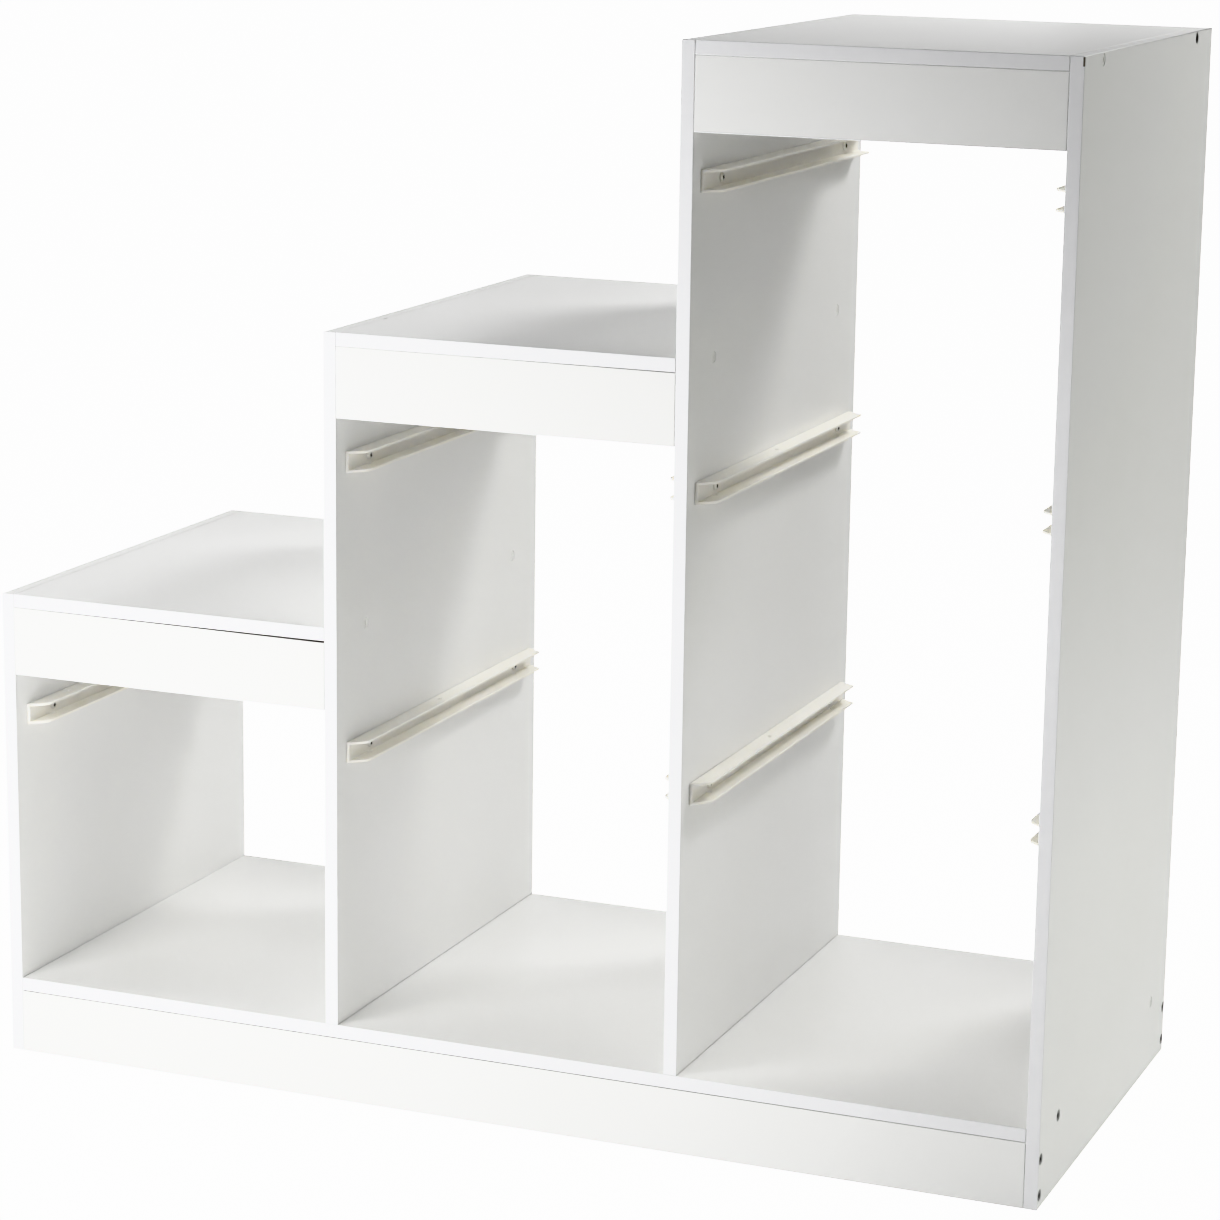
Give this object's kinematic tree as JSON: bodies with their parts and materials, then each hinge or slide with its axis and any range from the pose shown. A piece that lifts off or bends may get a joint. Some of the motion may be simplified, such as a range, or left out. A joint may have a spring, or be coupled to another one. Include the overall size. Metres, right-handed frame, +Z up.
{
  "type": "staircase bookshelf",
  "caption": "Free-standing stair-step storage frame with open bays that rise from left to right, front rails, plinths and side-mounted runners for slide-in boxes.",
  "frame": {"origin": "on the floor, under the middle of the frame", "axes": "+X to the right along the frame, towards the high bay; +Y from the open front to the rear; +Z up"},
  "size_m": [0.99, 0.44, 0.96],
  "materials": {
    "foiled_board": "white melamine foil on particleboard, satin",
    "runner_plastic": "injection-moulded polypropylene, off-white satin",
    "screw_steel": "zinc-plated steel",
    "dowel_beech": "plain beech"
  },
  "bodies": {
    "root": {"left_side_panel": "foiled_board", "low_divider": "foiled_board", "high_divider": "foiled_board", "right_side_panel": "foiled_board", "bottom_board": "foiled_board", "front_plinth": "foiled_board", "rear_plinth": "foiled_board", "low_top_board": "foiled_board", "middle_top_board": "foiled_board", "high_top_board": "foiled_board", "low_rail": "foiled_board", "middle_rail": "foiled_board", "high_rail": "foiled_board", "low_bay_runner_1_left": "runner_plastic", "low_bay_runner_1_right": "runner_plastic", "middle_bay_runner_1_left": "runner_plastic", "middle_bay_runner_1_right": "runner_plastic", "middle_bay_runner_2_left": "runner_plastic", "middle_bay_runner_2_right": "runner_plastic", "high_bay_runner_1_left": "runner_plastic", "high_bay_runner_1_right": "runner_plastic", "high_bay_runner_2_left": "runner_plastic", "high_bay_runner_2_right": "runner_plastic", "high_bay_runner_3_left": "runner_plastic", "high_bay_runner_3_right": "runner_plastic", "left_side_panel_screw_top_front": "screw_steel", "left_side_panel_screw_bottom_front": "screw_steel", "left_side_panel_screw_top_rear": "screw_steel", "left_side_panel_screw_bottom_rear": "screw_steel", "left_side_panel_screw_front_plinth_lower": "screw_steel", "left_side_panel_screw_front_plinth_upper": "screw_steel", "left_side_panel_screw_rear_plinth_lower": "screw_steel", "left_side_panel_screw_rear_plinth_upper": "screw_steel", "right_side_panel_screw_top_front": "screw_steel", "right_side_panel_screw_bottom_front": "screw_steel", "right_side_panel_screw_top_rear": "screw_steel", "right_side_panel_screw_bottom_rear": "screw_steel", "right_side_panel_screw_front_plinth_lower": "screw_steel", "right_side_panel_screw_front_plinth_upper": "screw_steel", "right_side_panel_screw_rear_plinth_lower": "screw_steel", "right_side_panel_screw_rear_plinth_upper": "screw_steel", "low_divider_screw_low_top_board_front": "screw_steel", "low_divider_screw_middle_top_board_front": "screw_steel", "bottom_board_screw_low_divider_front": "screw_steel", "low_divider_screw_low_top_board_rear": "screw_steel", "low_divider_screw_middle_top_board_rear": "screw_steel", "bottom_board_screw_low_divider_rear": "screw_steel", "high_divider_screw_middle_top_board_front": "screw_steel", "high_divider_screw_high_top_board_front": "screw_steel", "bottom_board_screw_high_divider_front": "screw_steel", "high_divider_screw_middle_top_board_rear": "screw_steel", "high_divider_screw_high_top_board_rear": "screw_steel", "bottom_board_screw_high_divider_rear": "screw_steel", "low_rail_dowel_left": "dowel_beech", "low_rail_dowel_right": "dowel_beech", "middle_rail_dowel_left": "dowel_beech", "middle_rail_dowel_right": "dowel_beech", "high_rail_dowel_left": "dowel_beech", "high_rail_dowel_right": "dowel_beech"}
  },
  "joints": []
}
